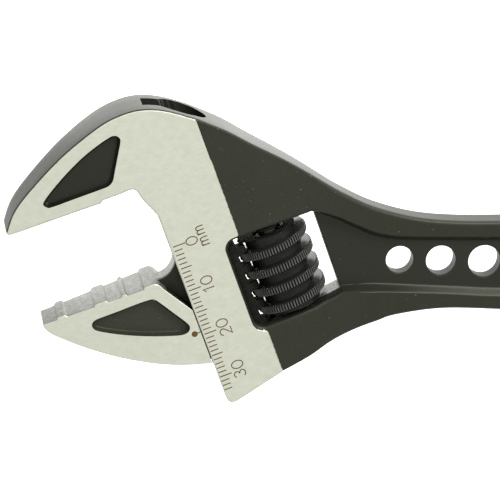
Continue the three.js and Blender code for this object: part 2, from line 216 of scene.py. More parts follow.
def inside(pts, poly):
    pts = np.asarray(pts, float)
    a = np.asarray(poly, float)
    b = np.roll(a, -1, axis=0)
    out = np.zeros(len(pts), bool)
    for s in range(0, len(pts), 4000):
        x, y = pts[s:s + 4000, 0][:, None], pts[s:s + 4000, 1][:, None]
        cond = (a[None, :, 1] > y) != (b[None, :, 1] > y)
        dy = b[:, 1] - a[:, 1]
        dy = np.where(np.abs(dy) < 1e-12, 1e-12, dy)
        xi = a[None, :, 0] + (y - a[None, :, 1]) * (b[:, 0] - a[:, 0])[None] / dy[None]
        out[s:s + 4000] = (np.sum(cond & (x < xi), axis=1) % 2) == 1
    return out


def signed(pts, poly):
    """Distance to a closed outline, positive inside."""
    d = distance(pts, poly)
    return np.where(inside(pts, poly), d, -d)


def offset(poly, dist):
    """Outline moved to its left by dist, and which of its points stay clear of the outline."""
    p = np.asarray(poly, float)
    dist = np.broadcast_to(np.asarray(dist, float), (len(p),))
    before, after = np.roll(p, 1, axis=0), np.roll(p, -1, axis=0)
    d0, d1 = p - before, after - p
    d0 /= np.maximum(np.linalg.norm(d0, axis=1), 1e-9)[:, None]
    d1 /= np.maximum(np.linalg.norm(d1, axis=1), 1e-9)[:, None]
    n0 = np.stack([-d0[:, 1], d0[:, 0]], 1)
    n1 = np.stack([-d1[:, 1], d1[:, 0]], 1)
    m = n0 + n1
    scale = 2.0 / np.maximum((m ** 2).sum(1), 0.35)
    q = p + m * (scale * dist)[:, None]
    ok = distance(q, p) > np.abs(dist) * 0.985 - 1e-4
    return q, ok


def smooth(t):
    t = np.clip(t, 0, 1)
    return t * t * (3 - 2 * t)


class Sketch:
    """Collects constraint lines and loose points for one plate."""

    def __init__(self):
        self.points, self.edges, self.seen = [], [], {}

    def add(self, p):
        key = (round(float(p[0]), 3), round(float(p[1]), 3))
        if key not in self.seen:
            self.seen[key] = len(self.points)
            self.points.append(Vector(key))
        return self.seen[key]

    def line(self, pts, ok=None):
        """Closed line through the points, leaving out those that are not ok."""
        ids = [self.add(p) for i, p in enumerate(pts) if ok is None or ok[i]]
        self.edges += [(a, b) for a, b in zip(ids, ids[1:] + ids[:1]) if a != b]

    def ring(self, poly, dist):
        self.line(*offset(poly, dist))

    def triangles(self):
        out = delaunay_2d_cdt(self.points, self.edges, [], 0, 1e-5)
        return np.array([tuple(v) for v in out[0]]), [tuple(f) for f in out[2]]


def plate(name, sketch, outline, holes, height):
    """Closed solid between z = -height and z = height over a sketched domain."""
    pts, tris = sketch.triangles()
    tri = np.array([t for t in tris if len(t) == 3])
    mid = pts[tri].mean(1)
    keep = inside(mid, outline)
    for h in holes:
        keep &= ~inside(mid, h)
    tri = tri[keep]
    used = np.unique(tri)
    remap = -np.ones(len(pts), int)
    remap[used] = np.arange(len(used))
    pts, tri = pts[used], remap[tri]
    a, b, c = pts[tri[:, 0]], pts[tri[:, 1]], pts[tri[:, 2]]
    turn = (b - a)[:, 0] * (c - a)[:, 1] - (b - a)[:, 1] * (c - a)[:, 0]
    tri = tri[np.abs(turn) > 1e-9]
    turn = turn[np.abs(turn) > 1e-9]
    tri[turn < 0] = tri[turn < 0][:, ::-1]
    z = height(pts)
    n = len(pts)
    verts = [tuple(v) for v in np.column_stack([pts, z])]
    verts += [tuple(v) for v in np.column_stack([pts, -z])]
    faces = [tuple(int(i) for i in t) for t in tri]
    faces += [tuple(int(i) + n for i in t[::-1]) for t in tri]
    count = {}
    for t in tri:
        for i in range(3):
            e = (int(t[i]), int(t[(i + 1) % 3]))
            count[e] = count.get(e, 0) + 1
    rim = [e for e in count if (e[1], e[0]) not in count]
    # walls in three bands, the middle one about as high as the handle web
    level = {}
    for i in sorted({v for edge in rim for v in edge}):
        x, y = pts[i]
        mid = min(1.6, 0.8 * z[i])
        level[i] = (i, len(verts), len(verts) + 1, i + n)
        verts += [(x, y, mid), (x, y, -mid)]
    for i, j in rim:
        for a, b in zip(range(3), range(1, 4)):
            faces.append((level[j][a], level[i][a], level[i][b], level[j][b]))
    return mesh_object(name, verts, faces)


def add_object(name, data):
    obj = bpy.data.objects.new(name, data)
    bpy.context.scene.collection.objects.link(obj)
    return obj


def mesh_object(name, verts_mm, faces):
    me = bpy.data.meshes.new(name)
    me.from_pydata([tuple(v) for v in metres(verts_mm)], [], faces)
    me.validate()
    me.update()
    return add_object(name, me)


def boolean(obj, cutter, operation):
    mod = obj.modifiers.new("cut", "BOOLEAN")
    mod.operation = operation
    mod.solver = "EXACT"
    mod.object = cutter
    mod.material_mode = "INDEX"
    apply_modifiers(obj)
    bpy.data.objects.remove(cutter)


def apply_modifiers(obj):
    bpy.context.view_layer.update()
    new = bpy.data.meshes.new_from_object(
        obj.evaluated_get(bpy.context.evaluated_depsgraph_get()))
    obj.modifiers.clear()
    old = obj.data
    obj.data = new
    bpy.data.meshes.remove(old)


def fix_normals(obj):
    bm = bmesh.new()
    bm.from_mesh(obj.data)
    bmesh.ops.recalc_face_normals(bm, faces=bm.faces)
    bm.to_mesh(obj.data)
    bm.free()


def shade(obj, degrees):
    obj.data.shade_smooth()
    obj.data.set_sharp_from_angle(angle=math.radians(degrees))


# edge round: ring distances and the drop of the face there
ROUND = [0.0, 0.038, 0.146, 0.309, 0.56, 1.0]


def edge_drop(d, r):
    """How far a face lies below its plane at distance d from a rounded edge."""
    t = np.clip(1 - d / r, 0, 1)
    return r - r * np.sqrt(np.maximum(1 - t * t, 0))


# ---- outlines ---------------------------------------------------------------
def head_points(points):
    return [hp(x, y) for x, y in points]


def body_outline():
    out = [hp(-JAW_LENGTH, 0.4)]
    out += head_points([(-29.4, 0), (-9.9, 0), (-9.3, 0.45), (-5.2, 0.45)])
    out += bezier(out[-1], hp(-4.2, 0.45), hp(-2.3, 1.0), hp(-2.1, -0.6), steps=10)
    out += bezier(out[-1], hp(-1.9, -2.6), hp(-0.6, -4.6), hp(0, -6.6), steps=8)
    out.append(hp(0, NECK_BOTTOM + 2))
    out += bezier(out[-1], hp(0, NECK_BOTTOM - 0.1), hp(2.2, NECK_BOTTOM + 0.35), steps=8)
    out.append(hp(13.1, -47.8))
    out += catmull([out[-1], (35.9, -35.92), (40.2, -33.0), (44.9, -30.65), (50, -28.75),
                    (54, -27.45), (64, -26.1), (76, -26.2)], 14)
    out.append((HANG_X, HANDLE_Y - END_R))
    out += arc(HANG_X, HANDLE_Y, END_R, -math.pi / 2, math.pi / 2, 56)[1:]
    out.append((76, -6.85))
    out += catmull([out[-1], (66, -7.05), (56.8, -6.42), (48, -4.3), (41.4, -1.45),
                    (37.4, 0.68), (33.3, 3.05), (28, 5.9), (21.08, 9.24), (15.6, 12.0),
                    hp(14.2, 9.7)], 12)
    out += catmull([out[-1], hp(9.2, 13.4), hp(4.6, 15.5), hp(0, 16.0), hp(-5.3, 15.2),
                    hp(-13.8, 12.1), hp(-22.1, 7.7), hp(-26.9, 4.4),
                    hp(-JAW_LENGTH, 0.9)], 14)
    return out


def ground_outline():
    """Area of the head that is ground flat, run out past the outline."""
    return rounded([
        (-40, 30, 0), (9, 30, 0), (14.1, 9.2, 2), (14.1, WIN["y1"] + 0.5, 0.5),
        (WIN["x0"] - 0.35, WIN["y1"] + 0.5, 2.2), (WIN["x0"] - 0.35, WIN["y0"] - 0.5, 2.2),
        (13.0, WIN["y0"] - 0.5, 1), (13.0, -60, 0), (-40, -60, 0)], 8, hp)


def recess_outline():
    """Foot of the recess walls; the left side lies inside the window."""
    end = HANG_X - HANG_D / 2 - 5
    out = [hp(WIN["x1"] - 0.6, -18.75), hp(WIN["x1"] + 0.3, -19.1)]
    out += catmull([out[-1], (39.3, -7.1), (42, -8.3), (44.2, -9.3), (47.9, -10.86),
                    (52, -11.6), (57, -11.79), (65.7, -11.71), (71, -11.6)], 8)
    out.append((end - 4, HANDLE_Y + 5.6))
    out += bezier(out[-1], (end, HANDLE_Y + 5.6), (end, HANDLE_Y), steps=10)
    out += bezier(out[-1], (end, HANDLE_Y - 5.6), (end - 4, HANDLE_Y - 5.6), steps=10)
    out.append((71.6, -21.37))
    out += catmull([out[-1], (66.5, -21.2), (57.7, -21.03), (50.3, -20.9), (48, -20.95),
                    (45.5, -21.25), hp(30.3, -35.9)], 8)
    out.append(hp(27.2, -36.35))
    return out


def hole_row():
    """Centre and radius of the growing holes in the handle."""
    holes, x = [], HOLE_X
    for i in range(HOLES):
        d = HOLE_D + HOLE_STEP * i
        holes.append((x, HANDLE_Y + 0.3, d / 2 - 0.12))
        x += d / 2 + HOLE_BRIDGE + (d + HOLE_STEP) / 2
    return holes


# ---- heights ----------------------------------------------------------------
NECK_X = np.linspace(0, 80, 641)
NECK_H = np.interp(
    NECK_X, [18, 21.6, 25.2, 28.5, 32, 37.3, 42, 47, 54],
    [BLACK_H, 5.9, 5.25, 4.75, 4.35, 3.9, 3.5, 3.22, HANDLE_H])
NECK_H = np.convolve(np.pad(NECK_H, 20, "edge"), np.ones(41) / 41, "valid")


def forging_height(hx):
    """Half thickness of the forging behind the neck front."""
    return np.interp(hx, NECK_X, NECK_H)


def jaw_plane(hx, top=HEAD_H):
    """Plane of a ground jaw face; the crease where the taper starts is eased."""
    run = np.maximum(TAPER_FROM + 1.5 - hx, 0)
    eased = np.where(run < 3, run * run / 6, run - 1.5)
    slope = (HEAD_H - TIP_H) / (JAW_LENGTH + TAPER_FROM)
    return top - eased * slope


POCKET_DEPTH = 1.35
POCKET_WALL = 0.65
POCKET_RINGS = (0, 0.05, 0.15, 0.3, 0.48, 0.65, 0.8, -0.06)
FIXED_POCKET = [
    (-20.75, 4.0), (-20.35, 3.1), (-19.4, 2.75), (-15.3, 2.8), (-11.8, 2.85), (-8.4, 2.9),
    (-7.1, 3.0), (-5.95, 3.7), (-4.9, 5.4), (-3.4, 7.95), (-1.95, 10.4), (-1.62, 11.4),
    (-2.0, 12.15), (-2.85, 12.5), (-4.0, 12.35), (-6.35, 11.75), (-9.0, 10.85),
    (-11.7, 9.65), (-14.5, 8.2), (-17.4, 6.5), (-19.6, 5.05)]
JAW_POCKET = [
    (-6.54, -23.1), (-7.7, -22.68), (-10.4, -22.65), (-13.0, -22.75), (-15.6, -22.85),
    (-18.2, -22.9), (-19.6, -23.05), (-20.4, -23.7), (-20.4, -24.65), (-19.6, -25.5),
    (-17.1, -27.0), (-13.9, -28.6), (-10.5, -30.05), (-7.1, -31.3), (-4.1, -32.3),
    (-2.6, -32.25), (-1.85, -31.5), (-1.95, -30.5), (-2.9, -28.8), (-4.2, -26.7),
    (-5.4, -24.7)]


def pocket_loop(points):
    ring = points[-1:] + points + points[:2]
    smoothed = catmull(ring, 6)[6:-6]
    return ccw(resample(head_points(smoothed), 0.6))


def pocket_drop(d):
    """Depth of a pocket at distance d inside its rim."""
    t = np.clip(d / POCKET_WALL, 0, 1)
    return POCKET_DEPTH * (1 - (1 - t) ** 1.7)


def wall_run(p):
    """Horizontal run of the recess wall, from its foot to its rim."""
    p = np.asarray(p)
    upper = np.interp(p[:, 0], [36, 48], [1.0, 1.5])
    lower = np.interp(p[:, 0], [44, 48, 72], [0.8, 1.55, 1.9])
    share = smooth((HANDLE_Y - p[:, 1]) / 4 + 0.5)
    return upper + share * (lower - upper)


def wall_share(t):
    """Height fraction at a run fraction: hollow foot, straight wall, eased rim."""
    return np.interp(t, [0, 0.08, 0.16, 0.25, 0.85, 0.93, 1],
                     [0, 0.015, 0.06, 0.14, 0.92, 0.98, 1])


def make_body():
    outline = ccw(resample(body_outline(), 0.9))
    ground = ccw(resample(ground_outline(), 1.2))
    front, back = WIN["front"], WIN["back"]
    window = ccw(resample(rounded([
        (WIN["x0"], WIN["y0"], front), (23, WIN["y0"], 4), (28.2, WIN["y0"] + 0.45, 4),
        (WIN["x1"], WIN["y0"] + 0.8, back), (WIN["x1"] + 0.1, WIN["y1"] - 0.8, back),
        (18, WIN["y1"], 6), (WIN["x0"], WIN["y1"], front)], 10, hp), 0.8))
    recess = ccw(resample(recess_outline(), 0.9))
    pocket = pocket_loop(FIXED_POCKET)
    circles = hole_row() + [(HANG_X, HANDLE_Y, HANG_D / 2)]
    holes = [ccw(arc(x, y, r, 0, 2 * math.pi, 64)[:-1]) for x, y, r in circles]

    def edge_radius(p):
        return 0.45 + 0.45 * smooth((np.asarray(p)[:, 0] - 30) / 12)

    def face(p):
        """Face height without edge rounds and recess."""
        hx, _ = to_head(p[:, 0], p[:, 1])
        black = np.minimum(forging_height(hx), jaw_plane(hx))
        d = signed(p, ground)
        step = smooth((d + 0.15) / 0.3)
        return black + step * (jaw_plane(hx) - black)

    def height(p):
        z = face(p)
        foot = signed(p, recess)
        share = wall_share(np.clip(-foot / wall_run(p), 0, 1))
        z = WEB_H + (z - WEB_H) * np.where(foot > 0, 0, share)
        dp = signed(p, pocket)
        z = z - np.where(dp > 0, pocket_drop(dp), 0)
        d = distance(p, outline)
        z = z - edge_drop(d, edge_radius(p))
        dw = distance(p, window)
        z = z - edge_drop(dw, np.where(z > 2.5, 0.75, 0.3))
        for x, y, r in circles:
            dh = np.maximum(np.hypot(p[:, 0] - x, p[:, 1] - y) - r, 0)
            z = z - edge_drop(dh, 0.3 if r < 5.5 else 0.6)
        return z

    sk = Sketch()
    sk.line(outline)
    r = edge_radius(outline)
    for k in ROUND[1:]:
        sk.ring(outline, r * k)
    sk.ring(outline, r + 0.12)
    sk.line(window)
    for k in ROUND[1:] + [1.15]:
        sk.ring(window, -0.75 * k)
    for d in (0.3, 0.12, 0.04):
        sk.ring(window, -d)
    for d in (-0.3, -0.15, -0.05, 0.05, 0.15, 0.3):
        sk.ring(ground, d)
    for d in POCKET_RINGS:
        sk.ring(pocket, d)
    run = wall_run(recess)
    for share in (0, 0.08, 0.16, 0.25, 0.4, 0.55, 0.7, 0.85, 0.93, 1.0, 1.08):
        sk.ring(recess, -run * share)
    sk.ring(recess, 0.15)
    for (x, y, r0), loop in zip(circles, holes):
        er = 0.3 if r0 < 5.5 else 0.6
        sk.line(loop)
        for k in ROUND[1:] + [1.3]:
            sk.line(ccw(arc(x, y, r0 + er * k, 0, 2 * math.pi, 64)[:-1]))
    # loose points where the face is curved
    for i in range(52):
        for j in range(60):
            sk.add((12.3 + i * 0.95, -43 + j * 0.97))
    for i in range(40):
        for j in range(40):
            sk.add(hp(-30 + i * 1.5, -50 + j * 1.7))
    body = plate("wrench_forging", sk, outline, [window] + holes, height)
    return body, ground


def rings(rows, count, wrap=False):
    """Faces that join rows of count points each; wrap joins the last row to the first."""
    faces = []
    for i in range(rows - 1 + wrap):
        for k in range(count):
            j = (k + 1) % count
            a, b = i * count, (i + 1) % rows * count
            faces.append((a + k, a + j, b + j, b + k))
    if not wrap:
        faces += [tuple(range(count)), tuple(range((rows - 1) * count, rows * count))]
    return faces


def lathe(name, profile, x, segments=96, closed_bore=False):
    """Turned solid around a line parallel to the neck; profile rows are (radius, y)."""
    verts = []
    for r, y in profile:
        for k in range(segments):
            a = 2 * math.pi * k / segments
            verts.append((*hp(x + r * math.sin(a), y), r * math.cos(a)))
    obj = mesh_object(name, verts, rings(len(profile), segments, closed_bore))
    fix_normals(obj)
    return obj


def cylinder_cut(x, radius, y0, y1, segments=72):
    return lathe("cut", [(radius, y0), (radius, y1)], x, segments)


def box_cut(x0, x1, y0, y1, h):
    """Box in the head frame, h to either side of the middle plane."""
    verts = []
    for z in (-h, h):
        for x, y in ((x0, y0), (x1, y0), (x1, y1), (x0, y1)):
            verts.append((*hp(x, y), z))
    faces = [(3, 2, 1, 0), (4, 5, 6, 7), (0, 1, 5, 4), (1, 2, 6, 5), (2, 3, 7, 6), (3, 0, 4, 7)]
    return mesh_object("cut", verts, faces)


def join(parts):
    """Joins meshes (vertex list, face list) into one."""
    verts, faces = [], []
    for v, f in parts:
        n = len(verts)
        verts += list(v)
        faces += [tuple(i + n for i in face) for face in f]
    return verts, faces


def lift(polygon, z0, z1):
    """Closed prism between two levels over a counter-clockwise polygon."""
    n = len(polygon)
    verts = [(x, y, z0) for x, y in polygon] + [(x, y, z1) for x, y in polygon]
    faces = [tuple(range(n))[::-1], tuple(range(n, 2 * n))]
    faces += [(k, (k + 1) % n, n + (k + 1) % n, n + k) for k in range(n)]
    return verts, faces


# ---- movable jaw --------------------------------------------------------------
RIB_H = 0.5
SEAM = 0.06             # visible seam between the jaw's face and the neck


def jaw_outline():
    face, base = -OPENING, -OPENING - RIB_H
    out = [(-JAW_LENGTH + 0.2, base)]
    for front, top, back in ((-26.7, -24.9, -24.45), (-18.6, -15.9, -15.6),
                             (-12.75, -11.75, -11.5)):
        out += [(front, base), (front + 0.3, face - 0.08), (front + 0.42, face),
                (top, face), (back, base)]
    out += [(-7.95, base), (-7.72, face - 0.08), (-7.6, face), (-5.8, face)]
    out += bezier(out[-1], (-4.8, face), (-4.0, face - 1.9), steps=8)
    out += [(-SEAM, face - 8.3), (-SEAM, face - 20.7)]
    out += bezier(out[-1], (-9.4, face - 18.5), (-19.5, face - 12.5), (-27.4, face - 4.5), steps=40)
    out += bezier(out[-1], (-JAW_LENGTH + 0.2, face - 2.5), (-JAW_LENGTH, face - 1.0), steps=8)
    return head_points(out)


JAW_EDGE = 0.22         # edge round of the jaw


def make_jaw():
    outline = ccw(resample(jaw_outline(), 0.7))
    pocket = pocket_loop(JAW_POCKET)

    def height(p):
        hx, _ = to_head(p[:, 0], p[:, 1])
        z = jaw_plane(hx)
        d = signed(p, pocket)
        z = z - np.where(d > 0, pocket_drop(d), 0)
        return z - edge_drop(distance(p, outline), JAW_EDGE)

    sk = Sketch()
    sk.line(outline)
    for k in ROUND[1:] + [1.4]:
        sk.ring(outline, JAW_EDGE * k)
    for d in POCKET_RINGS:
        sk.ring(pocket, d)
    for i in range(21):
        for j in range(15):
            sk.add(hp(-29 + i * 1.5, -39.5 + j * 1.4))
    return plate("movable_jaw_steel", sk, outline, [], height)


TOOTH_SAG = 0.15        # the rack's gaps lie this much below the middle of the thread
HIGHLIT_Z = -0.6           # upper tooth flanks get the near-white painted highlight behind this level


def make_rack():
    """Thin web in the slot, and the round rack in the bore."""
    top = -OPENING + 2.0
    web = [(-8, top - 7), (-5.4, top - 2.4)]
    web += bezier(web[-1], (-2.0, top - 3.6), (0.2, top), steps=12)
    web += [(BORE_X - 2, top + 0.6), (BORE_X - 2, NECK_BOTTOM + 4.2),
            (-2.5, -OPENING - 19.9), (-8, -OPENING - 15.7)]
    web = ccw(resample(head_points(web), 0.8))
    half, ease = SLOT_H - GAP, 0.35
    sk = Sketch()
    sk.line(web)
    for k in ROUND[1:] + [1.4]:
        sk.ring(web, ease * k)
    plate_web = plate("movable_jaw_web", sk, web, [],
                      lambda p: half - edge_drop(distance(p, web), ease))

    # D-shaped rack: a cylinder flattened on the worm's side
    r, flat = BORE_R - GAP, WORM_X - WORM_ROOT - GAP - BORE_X
    lo, hi, ease = NECK_BOTTOM + 3.9, -OPENING + 4.6, 0.5
    cut = math.acos(flat / r)
    section = arc(0, 0, r, cut, 2 * math.pi - cut, 64)
    verts = []
    levels = [(lo, r - ease), (lo + ease, r), (hi - ease, r), (hi, r - ease)]
    for y, level in levels:
        for px, pz in section:
            verts.append((*hp(BORE_X + px * level / r, y), pz * level / r))
    rack = mesh_object("movable_jaw_rack", verts, rings(len(levels), len(section)))
    fix_normals(rack)
    crest = CREST / 2 + GAP
    mouth = crest + FLANK
    root, tip = WORM_X - WORM_R - GAP, WORM_X - WORM_ROOT - GAP
    slope = (mouth - crest) / (tip - root)
    lead = math.atan(PITCH / (2 * math.pi * (WORM_R + WORM_ROOT) / 2))
    gaps = []
    for i in range(-2, 7):
        at = PHASE_Y - PITCH / 4 - i * PITCH - TOOTH_SAG
        profile = [(root, -crest), (tip + 3, -mouth - 3 * slope), (tip + 3, mouth + 3 * slope),
                   (root, crest)]
        fillet = [(root + 0.28, -crest - 0.28 * slope), (root, -crest + 0.28),
                  (root, crest - 0.28), (root + 0.28, crest + 0.28 * slope)]
        loop = [fillet[1], fillet[0], profile[1], profile[2], fillet[3], fillet[2]]
        v = []
        for z in (-9, HIGHLIT_Z, 9):
            for x, y in loop:
                yy = y * math.cos(lead) + z * math.sin(lead)
                zz = -y * math.sin(lead) + z * math.cos(lead)
                v.append((*hp(x, yy + at), zz))
        m = len(loop)
        f = [tuple(range(m))[::-1], tuple(range(2 * m, 3 * m))]
        f += [(k + b, (k + 1) % m + b, m + (k + 1) % m + b, m + k + b)
              for b in (0, m) for k in range(m)]
        gaps.append((v, f))
    v, f = join(gaps)
    cutter = mesh_object("gaps", v, f)
    fix_normals(cutter)
    boolean(rack, cutter, "DIFFERENCE")
    # tooth edges carry a narrow bevel of the bright second material: a painted highlight
    highlight_bevel = rack.modifiers.new("highlight_bevel", "BEVEL")
    highlight_bevel.width = 0.00012
    highlight_bevel.segments = 1
    highlight_bevel.limit_method = "ANGLE"
    highlight_bevel.angle_limit = math.radians(40)
    highlight_bevel.material = 1
    apply_modifiers(rack)
    return plate_web, rack


# ---- worm, pin, spring ----------------------------------------------------------
TEETH = 77              # knurl ridges in one turn
KNURL = 0.24            # depth of the knurl grooves
PIN_R, PIN_TOP_Y, PIN_FOOT_Y, PIN_HEAD_R, PIN_HEAD_H = 2.0, -12.8, -45.7, 3.0, 3.0
SPRING_R, SPRING_WIRE, SPRING_TURNS, SPRING_SEAT = 2.85, 0.35, 4, -22.6
WORM_BORE = 2.3
PIN_HOLE_R, PIN_HOLE_TOP, HEAD_HOLE_R, HEAD_HOLE_TOP = 2.3, -12.5, 3.3, -42.4


def make_worm():
    foot = CREST / 2 + FLANK
    rows = [
        (-PITCH / 2, WORM_ROOT, 0), (-foot - 0.25, WORM_ROOT, 0), (-foot - 0.06, WORM_ROOT + 0.05, 0),
        (-foot + 0.04, WORM_ROOT + 0.25, 0), (-CREST / 2 - 0.09, WORM_R - 0.5, 0),
        (-CREST / 2 - 0.02, WORM_R - 0.24, 0.5), (-CREST / 2 + 0.2, WORM_R, 1),
        (CREST / 2 - 0.2, WORM_R, 1), (CREST / 2 + 0.02, WORM_R - 0.24, 0.5),
        (CREST / 2 + 0.09, WORM_R - 0.5, 0), (foot - 0.04, WORM_ROOT + 0.25, 0),
        (foot + 0.06, WORM_ROOT + 0.05, 0), (foot + 0.25, WORM_ROOT, 0)]
    share = [0.0, 0.42, 0.6, 0.82]
    drop = [0, 0, 1, 1]
    n = TEETH * 4
    turns = 7
    start = PHASE_Y - 4 * PITCH
    verts, faces = [], []
    period = len(rows)
    total = period * turns + 1
    for row in range(total):
        y, r, k = rows[row % period]
        y += (row // period) * PITCH
        for j in range(n):
            t = (j // 4 + share[j % 4]) / TEETH
            a = 2 * math.pi * t
            rr = r - KNURL * k * drop[j % 4]
            verts.append((*hp(WORM_X + rr * math.sin(a), start + y + t * PITCH),
                          rr * math.cos(a)))
    for row in range(total - 1 - period):
        for j in range(n):
            # the last column meets the first one a turn higher
            a, b = row * n + j, row * n + j + 1 if j + 1 < n else (row + period) * n
            faces.append((a, b, b + n, a + n))
    last = total - 1 - period
    low, high = len(verts), len(verts) + 1
    verts.append((*hp(WORM_X, start - 2 * PITCH), 0))
    verts.append((*hp(WORM_X, start + (turns + 3) * PITCH), 0))
    for j in range(n):
        a, b = j, j + 1 if j + 1 < n else period * n
        faces.append((low, b, a))
        a, b = last * n + j, last * n + j + 1 if j + 1 < n else (last + period) * n
        faces.append((high, a, b))
    for k in range(period):
        faces.append((low, k * n, (k + 1) * n))
        faces.append((high, (last + k + 1) * n, (last + k) * n))
    worm = mesh_object("worm_knurled", verts, faces)
    fix_normals(worm)
    # ridge tops of the knurl are brighter than its grooves: partly wear, partly a painted highlight;
    # the groove floors between ridges get painted shade
    where = np.arange(len(worm.data.polygons))
    row, tooth = (where // n) % period, where % n % 4
    highlit = (where < (total - 1 - period) * n) & (row == 6) & (tooth == 0)
    sunk = (where < (total - 1 - period) * n) & (row >= 5) & (row <= 7) & (tooth == 2)
    worm.data.polygons.foreach_set("material_index", np.where(highlit, 1, np.where(sunk, 2, 0)))
    e, q = 0.9, 0.28
    bore = [(WORM_BORE, WORM_Y0 + 0.3), (WORM_BORE + 0.3, WORM_Y0)]
    seat = SPRING_R + SPRING_WIRE + GAP
    outer = [(WORM_R - e - 0.35, WORM_Y0), (WORM_R - e + 0.1, WORM_Y0 + 0.1),
             (WORM_R - 0.05, WORM_Y0 + e), (WORM_R + 0.15, WORM_Y0 + e + q)]
    top = [(WORM_R + 0.15, WORM_Y1 - e - q), (WORM_R - 0.05, WORM_Y1 - e),
           (WORM_R - e + 0.1, WORM_Y1 - 0.1), (WORM_R - e - 0.35, WORM_Y1)]
    inner = [(seat + 0.25, WORM_Y1), (seat, WORM_Y1 - 0.25), (seat, SPRING_SEAT),
             (WORM_BORE, SPRING_SEAT)]
    blank = lathe("blank", bore + outer + top + inner, WORM_X, 96, True)
    boolean(worm, blank, "INTERSECT")
    return worm


def make_pin():
    y0, y1 = PIN_FOOT_Y, PIN_FOOT_Y + PIN_HEAD_H
    pin = lathe("worm_axle_pin", [
        (PIN_HEAD_R - 0.35, y0), (PIN_HEAD_R - 0.1, y0 + 0.1), (PIN_HEAD_R, y0 + 0.35),
        (PIN_HEAD_R, y1 - 0.15), (PIN_HEAD_R - 0.15, y1), (PIN_R + 0.2, y1),
        (PIN_R, y1 + 0.2), (PIN_R, PIN_TOP_Y - 0.4), (PIN_R - 0.12, PIN_TOP_Y - 0.12),
        (PIN_R - 0.4, PIN_TOP_Y)], WORM_X, 64)
    cutter = box_cut(WORM_X - 0.45, WORM_X + 0.45, y0 - 1, y0 + 1.2, 6)
    fix_normals(cutter)
    boolean(pin, cutter, "DIFFERENCE")
    return pin


def make_spring():
    y0 = SPRING_SEAT + GAP + SPRING_WIRE
    y1 = WIN["y1"] - GAP - SPRING_WIRE
    steps, sides = 64 * SPRING_TURNS, 16
    verts = []
    for i in range(steps + 1):
        t = i / steps
        a = t * SPRING_TURNS * 2 * math.pi
        # ends are wound flat
        lead = np.interp(t, [0, 0.2, 0.8, 1], [0, 0.09, 0.91, 1])
        centre = np.array([WORM_X + SPRING_R * math.sin(a), y0 + (y1 - y0) * lead,
                           SPRING_R * math.cos(a)])
        radial = np.array([math.sin(a), 0, math.cos(a)])
        for k in range(sides):
            b = 2 * math.pi * k / sides
            p = centre + SPRING_WIRE * (math.cos(b) * radial + math.sin(b) * np.array([0, 1, 0]))
            verts.append((*hp(p[0], p[1]), p[2]))
    spring = mesh_object("worm_coil_spring", verts, rings(steps + 1, sides))
    fix_normals(spring)
    return spring


# ---- etched scale -----------------------------------------------------------------
def stroke(points, width, z, closed=False):
    """Raised line of constant width along head-frame points; z(hx) is the face height."""
    p = np.array(points, float)
    q, n = [], len(p)
    for i in range(n):
        a = p[i] - p[i - 1] if i > 0 or closed else p[1] - p[0]
        b = p[(i + 1) % n] - p[i] if i < n - 1 or closed else p[-1] - p[-2]
        a, b = a / np.linalg.norm(a), b / np.linalg.norm(b)
        m = np.array([-a[1] - b[1], a[0] + b[0]])
        m *= 2 / max(float(m @ m), 0.8)
        q.append(m * width / 2)
    q = np.array(q)
    verts, faces = [], []
    for i in range(n):
        for side, dz in ((1, MARK_H), (-1, MARK_H), (-1, -0.04), (1, -0.04)):
            hx, hy = p[i] + side * q[i]
            verts.append((*hp(hx, hy), z(hx) + dz))
    for i in range(n if closed else n - 1):
        a, b = 4 * i, 4 * ((i + 1) % n)
        for k in range(4):
            j = (k + 1) % 4
            faces.append((a + k, a + j, b + j, b + k))
    if not closed:
        faces += [(0, 1, 2, 3), tuple(4 * (n - 1) + k for k in (3, 2, 1, 0))]
    return verts, faces


MARK_H = 0.012          # marks stand this far above the face
LINE = 0.22             # stroke width
MARKS, FIRST_MARK_Y = 34, -13.9
DOT_X, DOT_R, POINTER_Y = -1.4, 0.63, -33.1


def face_z(hx):
    return float(jaw_plane(np.array([hx]))[0])


def glyph(kind, x, y):
    """Strokes of a character 2.4 tall and 1.7 wide centred at (x, y), reading up the neck."""
    h, w = 1.2, 0.85

    def place(u, v):
        return (x - v * h, y + u * w)

    if kind == "0":
        loop = [place(math.cos(a), math.sin(a)) for a in
                [2 * math.pi * k / 28 for k in range(28)]]
        return [(loop, True)]
    if kind == "1":
        return [([place(-0.55, 0.55), place(0.1, 1.0), place(0.1, -1.0)], False)]
    if kind == "2":
        top = [place(0.82 * math.cos(a), 0.45 + 0.55 * math.sin(a)) for a in
               [math.radians(170 - 205 * k / 14) for k in range(15)]]
        return [(top + [place(-0.85, -1.0), place(0.9, -1.0)], False)]
    if kind == "3":
        upper = [place(0.72 * math.cos(a), 0.5 + 0.5 * math.sin(a)) for a in
                 [math.radians(155 - 245 * k / 12) for k in range(13)]]
        lower = [place(0.85 * math.cos(a), -0.5 + 0.5 * math.sin(a)) for a in
                 [math.radians(90 - 250 * k / 12) for k in range(13)]]
        return [(upper + lower[1:], False)]
    out = [([place(-1.0, 0.62), place(-1.0, -0.75)], False)]
    for left in (-1.0, 0.0):
        a = [place(left + 0.5 - 0.5 * math.cos(t), 0.1 + 0.5 * math.sin(t)) for t in
             [math.pi * k / 8 for k in range(9)]]
        out.append((a + [place(left + 1.0, -0.75)], False))
    return out


